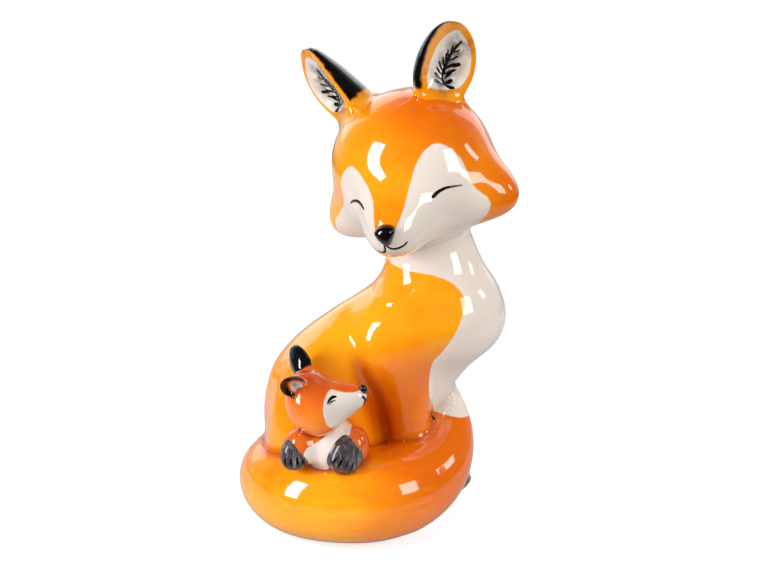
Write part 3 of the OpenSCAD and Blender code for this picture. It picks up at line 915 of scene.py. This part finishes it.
head = headField.surface(headSet["around"], headSet["levels"])
local = (head - headAt) @ headTurn
head = melt(head, headField, [(trunkField, headSet["neckMelt"]), (leftEar, headSet["earMelt"]),
                              (rightEar, headSet["earMelt"])])
white = np.minimum(insideOutline(local[..., [0, 2]], headSet["white"]), 2 - local[..., 1])
cheekSharp = headSet["lobes"][0][2]
cheek = np.maximum(*[np.exp(-cheekSharp * (1 - unit(local) @ unit(np.array(lobe[0]))))
                     for lobe in headSet["lobes"][1::-1]])
makePiece("head", head, honeyGlaze, ["head"], {
    "white": white,
    # painted shade: red-brown along the neck seam; the deeper orange to the upper right, on the right cheek
    # and on the muzzle is partly painted shade on the side away from the left lamp
    "deep": 0.6 * seamShade(head, [trunkField], 3.0),
    "toneAndShade": 0.85 * step(local[..., 0] + local[..., 2], 2, 46) + 0.5 * cheek * (local[..., 0] > 0)
            + 0.5 * step(-local[..., 1], 28, 44),
})
for name, ear, side, blackFrom in (("left_ear", leftEar, -1, 0.02), ("right_ear", rightEar, 1, 0.06)):
    own, points = ear.surface(earSet["around"], earSet["levels"])
    half, back, front, dip = ear.section(own[..., 2] / ear.length)
    points = melt(points, ear, [(headField, headSet["earMelt"])])
    sine = np.sin(around(earSet["around"])[None, :])
    fitted = own[..., [0, 2]] * np.array([side * earSet["right"]["width"] / ear.width, 1])
    inner = insideOutline(fitted, earSet["inner"])
    spine = earSet["spine" if side > 0 else "leftSpine"]
    makePiece(name, points, earGlaze, [name], {
        "white": -9.0,
        "inner": np.where(sine < -0.05, inner, -9.0),
        "black": np.minimum(np.maximum(back * (sine - blackFrom),
                                       -9 * (side < 0) - own[..., 0] - 0.82 * half),
                            own[..., 2] - 4),
        "smudge": 0.95 * np.exp(-(gapToCurve(own[..., [0, 2]],
                                             np.array(spine) * [1, 0.8] + [0, 2]) / 4.4) ** 2),
        "deep": 0.0,
        "toneAndShade": 0.1,
    })
noseSet = {"towards": (0.025, -0.965, -0.19), "away": 44.4, "r": [4.0, 3.5, 3.5, 4.6, 3.3], "narrow": 0.5,
           "grid": (90, 60)}
noseField = Egg(headAt + headTurn @ (unit(np.array(noseSet["towards"])) * noseSet["away"]), noseSet["r"],
                full=2.3,
                turn=headTurn)
nose = noseField.surface(*noseSet["grid"])
own = (nose - noseField.at) @ headTurn
own[..., 0] *= noseSet["narrow"] + (1 - noseSet["narrow"]) * step(own[..., 2], -4.6, 1.2)
nose = own @ headTurn.T + noseField.at
makePiece("nose_button", nose, inkGlaze, ["nose_button"])
print("head made")

# Paws of the mother

for name, field in (("far_forepaw", farForepaw), ("far_hind_paw", farHindPaw)):
    paw = field.surface(*pawSet["grid"])
    paw = melt(paw, field, [(farLeg, 1.5), (trunkField, 1.5)])
    makePiece(name, paw, charcoalGlaze, [name])

kitHead = kitHeadField.surface(*kitSet["headGrid"])
local = (kitHead - kitAt) @ kitTurn
kitHead = melt(kitHead, kitHeadField, [(kitBodyField, 1.5), (trunkField, 1.0), (kitNearEar, 1.5),
                                       (kitFarEar, 1.5)])
makePiece("kit_head", kitHead, rustGlaze, ["kit_head"], {
    "white": insideOutline(local[..., [1, 2]], kitSet["white"]),
    # painted shade: red-brown along the seams with body, mother and ears, and on top of the head; the deeper
    # red towards the top is painted shade too, as the top gets less light
    "deep": np.maximum(0.8 * seamShade(kitHead, [kitBodyField, trunkField], 1.8),
                       np.maximum(0.6 * seamShade(kitHead, [kitNearEar, kitFarEar], 1.4),
                                  0.5 * step(local[..., 2] - 0.3 * local[..., 1], 3, 12))),
    "toneAndShade": 0.25 + 0.75 * step(local[..., 2] - 0.5 * local[..., 1], -3, 15),
})
kitBody = starSurface(kitBodyField, kitMiddle, *kitSet["bodyGrid"], 30)
kitBody = melt(kitBody, kitBodyField, [(tailField, 1.2), (trunkField, 1.0), (kitHeadField, 1.5)])
makePiece("kit_body", kitBody, litBibGlaze, ["kit_body"], {
    "white": np.where(kitBody[..., 1] < kitMiddle[1], insideOutline(kitBody[..., [0, 2]], kitSet["bib"]), -9),
    # painted shade along the seams with tail, mother and head, over an even deeper red tint all over the kit's
    # body
    "deep": np.maximum(seamShade(kitBody, [tailField, trunkField, kitHeadField], 1.8), 0.4),
    "toneAndShade": 0.6,
})
for name, ear, isFar in (("kit_near_ear", kitNearEar, 0), ("kit_far_ear", kitFarEar, 1)):
    own, points = ear.surface(*kitSet["earGrid"])
    half, back, front, dip = ear.section(own[..., 2] / ear.length)
    points = melt(points, ear, [(kitHeadField, 1.5)])
    sine = np.sin(around(kitSet["earGrid"][0])[None, :])
    inner = insideOutline(own[..., [0, 2]], kitSet["earInner"])
    rim = insideOutline(own[..., [0, 2]], kitSet["earRim"])
    makePiece(name, points, kitEarGlaze, [name], {
        "white": -9.0,
        "inner": np.where((sine < -0.05) & (isFar == 0), inner, -9.0),
        "black": np.minimum(3.0 if isFar else np.maximum(back * (sine - 0.05), -rim), own[..., 2] - 0.8),
        "smudge": np.exp(-(gapToCurve(own[..., [0, 2]], [(-0.6, 0.8), (0, 2), (0.4, 3.2)]) / 0.8) ** 2),
        "deep": 0.0,
        "toneAndShade": 0.7,
    })
kitNoseField = Egg(kitAt + kitTurn @ np.array([0, -kitSet["muzzle"] - 1.3, -0.9]), kitSet["nose"],
                   turn=kitTurn)
makePiece("kit_nose", kitNoseField.surface(*kitSet["noseGrid"]), inkGlaze, ["kit_nose"])
for name, field in (("kit_left_paw", kitLeftPaw), ("kit_right_paw", kitRightPaw)):
    paw = field.surface(*kitSet["pawGrid"])
    makePiece(name, melt(paw, field, [(kitBodyField, 0.8), (tailField, 0.5)]), charcoalGlaze,
              [name])
print("kit made")

# Raised strokes: closed eyes, mouths, the feathers in the ears, and claws

faceStrokes = [
    ([(-18.5, -1.3), (-15.8, 0.1), (-12.8, 0.5), (-10.2, -0.4), (-8.7, -1.4)], [0.3, 0.55, 0.65, 0.6, 0.4]),
    ([(15.6, -3.4), (17.6, -2.2), (20.2, -1.9), (23.0, -2.6), (25.0, -3.4)], [0.85, 0.7, 0.55, 0.4, 0.2]),
    ([(-0.2, -12.2), (-0.6, -14.4), (-1.6, -15.6), (-3.2, -15.6), (-4.6, -14.6)],
     [0.45, 0.45, 0.5, 0.4, 0.25]),
    ([(0.2, -12.6), (1.8, -14.6), (3.9, -15.2), (5.9, -14.9), (7.3, -13.9)], [0.4, 0.45, 0.5, 0.4, 0.25]),
]
brushStrokes("face_strokes", [(faceStrokes, headField, headAt, headTurn, 70, 0)], inkGlaze)
earStrokes = []
for ear, spine, side in ((leftEar, "leftSpine", -1), (rightEar, "spine", 1)):
    feather = featherStrokes(earSet[spine], earSet["barbs"], side)
    feather = [(ear.bend(np.array(dots)), widths) for dots, widths in feather]
    earStrokes.append((feather, ear.dish, ear.at, ear.turn, 8, 9))
brushStrokes("ear_strokes", earStrokes, inkGlaze, 0.12, 8, 10)
kitFaceStrokes = [
    ([(8.0, 1.0), (8.9, 1.9), (10.2, 2.2), (11.6, 1.6)], [0.25, 0.55, 0.55, 0.25]),
    ([(8.4, 0.6), (9.4, 1.0), (10.9, 0.8)], [0.15, 0.3, 0.15]),
]
kitMouth = [([(19.4, -2.6), (19.6, -4.0), (19.1, -5.5), (17.7, -6.7)], [0.3, 0.3, 0.35, 0.25])]
kitSide = [(kitTurn @ turned((0, 0, -90 * side)), np.array([side, 1])) for side in (1, -1)]
brushStrokes("kit_strokes", [([(np.array(dots) * flip, widths) for dots, widths in kitFaceStrokes + kitMouth],
                              kitHeadField, kitAt, turn, 26, 0) for turn, flip in kitSide],
             inkGlaze, 0.12, 10, 14)
kitClaws = [([(x, 1.4), (x * 1.15, -1.4), (x * 1.1, -4.4)], [0.3, 0.6, 0.35]) for x in (-3.2, -1.1, 1.1, 3.1)]
motherClaws = [([(x, 1.6), (x * 1.1, -0.6), (x * 1.12, -3.6)], [0.25, 0.5, 0.3]) for x in (-3.4, 0, 3.4)]
pawFront = bodyTurn @ turned((0, 0, 90))
brushStrokes("claw_strokes", [(kitClaws, paw, paw.at, paw.turn, 12, 0) for paw in (kitLeftPaw, kitRightPaw)]
             + [(motherClaws, paw, paw.at, pawFront, 20, 0) for paw in (farForepaw, farHindPaw)],
             inkGlaze, 0.12, 10, 10)
print("strokes painted")

# The foot stays the CAD node, with its own finish

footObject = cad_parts["base_slab"]
footObject.data.materials.clear()
footObject.data.materials.append(footClay)

# Floor, which passes into a backdrop where it is seen in the glaze


def ranged(tree, value, start, stop, ends, smooth=True):
    # one end value at start and the other at stop
    node = tree.nodes.new("ShaderNodeMapRange")
    if smooth:
        node.interpolation_type = "SMOOTHSTEP"
    tree.links.new(value, node.inputs["Value"])
    for socket, number in zip(("From Min", "From Max", "To Min", "To Max"), (start, stop, *ends)):
        node.inputs[socket].default_value = number
    return node.outputs["Result"]


def chosen(tree, share, a, b):
    # a number where share is nothing, b where it is one
    node = tree.nodes.new("ShaderNodeMix")
    tree.links.new(share, node.inputs["Factor"])
    tree.links.new(a, node.inputs[2])
    if isinstance(b, bpy.types.NodeSocket):
        tree.links.new(b, node.inputs[3])
    else:
        node.inputs[3].default_value = b
    return node.outputs[0]


def parted(tree, way):
    # x, y and z of a texture coordinate
    node = tree.nodes.new("ShaderNodeSeparateXYZ")
    tree.links.new(tree.nodes.new("ShaderNodeTexCoord").outputs[way], node.inputs[0])
    return node.outputs


stageSet = {"floor": 3.0, "middle": 0.25, "near": 0.32, "out": 0.44, "colour": (0.55, 0.03),
            "lift": (0.7, 1.0), "shineFrom": 0.2, "shineFull": 1.6, "shine": 0.5}
floorMesh = bpy.data.meshes.new("floor")
edge = stageSet["floor"]
floorMesh.from_pydata([(-edge, -edge, 0), (edge, -edge, 0), (edge, edge, 0), (-edge, edge, 0)], [],
                      [(0, 1, 2, 3)])
floor = bpy.data.objects.new("floor", floorMesh)
bpy.context.scene.collection.objects.link(floor)
floorMaterial = bpy.data.materials.new("paleFloor")
floorMaterial.use_nodes = True
tree = floorMaterial.node_tree
floorShader = tree.nodes["Principled BSDF"]
floorShader.inputs["Roughness"].default_value = 0.9
floorShader.inputs["Specular IOR Level"].default_value = 0.0
floorShader.inputs["Emission Color"].default_value = (1, 1, 1, 1)
away = tree.nodes.new("ShaderNodeVectorMath")
away.operation = "DISTANCE"
tree.links.new(tree.nodes.new("ShaderNodeTexCoord").outputs["Object"], away.inputs[0])
away.inputs[1].default_value = (0, stageSet["middle"], 0)
colour, lift = (ranged(tree, away.outputs["Value"], stageSet["near"], stageSet["out"], stageSet[part])
                for part in ("colour", "lift"))
tree.links.new(colour, floorShader.inputs["Base Color"])
backdrop = ranged(tree, parted(tree, "Object")["Y"], stageSet["shineFrom"], stageSet["shineFull"],
                  (0, stageSet["shine"]))
isSeen = tree.nodes.new("ShaderNodeLightPath").outputs["Is Camera Ray"]
tree.links.new(chosen(tree, isSeen, backdrop, lift), floorShader.inputs["Emission Strength"])
floorMesh.materials.append(floorMaterial)

# The world fills softly, less from above; in the glaze it shows as a dark room with a pale backdrop
# far behind
worldSet = {"fill": (0.9, 0.45), "shine": (0.05, 0.55), "backdropFrom": 0.15, "backdropFull": 0.85}
world = bpy.data.worlds.new("studio")
bpy.context.scene.world = world
world.use_nodes = True
tree = world.node_tree
background = tree.nodes["Background"]
background.inputs["Color"].default_value = (1, 1, 1, 1)
rays = tree.nodes.new("ShaderNodeLightPath")
way = parted(tree, "Generated")
backdrop = ranged(tree, way["Y"], worldSet["backdropFrom"], worldSet["backdropFull"], worldSet["shine"])
fill = ranged(tree, way["Z"], 0, 1, worldSet["fill"], False)
shine = chosen(tree, rays.outputs["Is Glossy Ray"], fill, backdrop)
seen = chosen(tree, rays.outputs["Is Camera Ray"], shine, 1.0)
tree.links.new(seen, background.inputs["Strength"])

# Camera and lamps

cameraSet = {"aim": (8.9, 0, 96.5), "elevation": 17, "distance": 900, "pixelsPerMm": 2.6, "sensor": 36,
             "wide": 760}
aim = Vector(cameraSet["aim"]) * mm
tilt = math.radians(cameraSet["elevation"])
camera = bpy.data.objects.new("camera", bpy.data.cameras.new("camera"))
bpy.context.scene.collection.objects.link(camera)
camera.data.sensor_width = cameraSet["sensor"]
camera.data.lens = cameraSet["pixelsPerMm"] * cameraSet["distance"] * cameraSet["sensor"] / cameraSet["wide"]
camera.location = aim + Vector((0, -math.cos(tilt), math.sin(tilt))) * cameraSet["distance"] * mm
camera.rotation_euler = (aim - camera.location).to_track_quat("-Z", "Y").to_euler()
bpy.context.scene.camera = camera

# degrees round from the front and up, metres away, wide and tall, watts, and whether the glaze mirrors it
lampSet = {
    "leftSoftbox": (-62, 16, 1.2, 0.3, 0.76, 11.5, True),
    "rightSoftbox": (50, 18, 1.2, 0.36, 0.5, 4, True),
    "sideSoftbox": (88, 20, 1.2, 0.16, 0.28, 1, True),
    "frontFill": (26, 10, 1.4, 1.2, 1.2, 4.5, False),
    "backLeftSoftbox": (-152, 24, 1.3, 1.0, 0.9, 2.6, True),
    "backRightSoftbox": (155, 24, 1.3, 1.0, 0.9, 2.6, True),
}
for name, (turn, up, away, wide, tall, power, mirrored) in lampSet.items():
    data = bpy.data.lights.new(name, "AREA")
    data.shape = "RECTANGLE"
    data.size, data.size_y = wide, tall
    data.energy = power
    holder = bpy.data.objects.new(name, data)
    holder.visible_camera = False
    holder.visible_glossy = mirrored
    bpy.context.scene.collection.objects.link(holder)
    a, e = math.radians(turn), math.radians(up)
    towards = Vector((math.sin(a) * math.cos(e), -math.cos(a) * math.cos(e), math.sin(e)))
    holder.location = aim + towards * away
    holder.rotation_euler = (aim - holder.location).to_track_quat("-Z", "Y").to_euler()
bpy.context.scene.view_settings.view_transform = "Standard"
print("stage set")
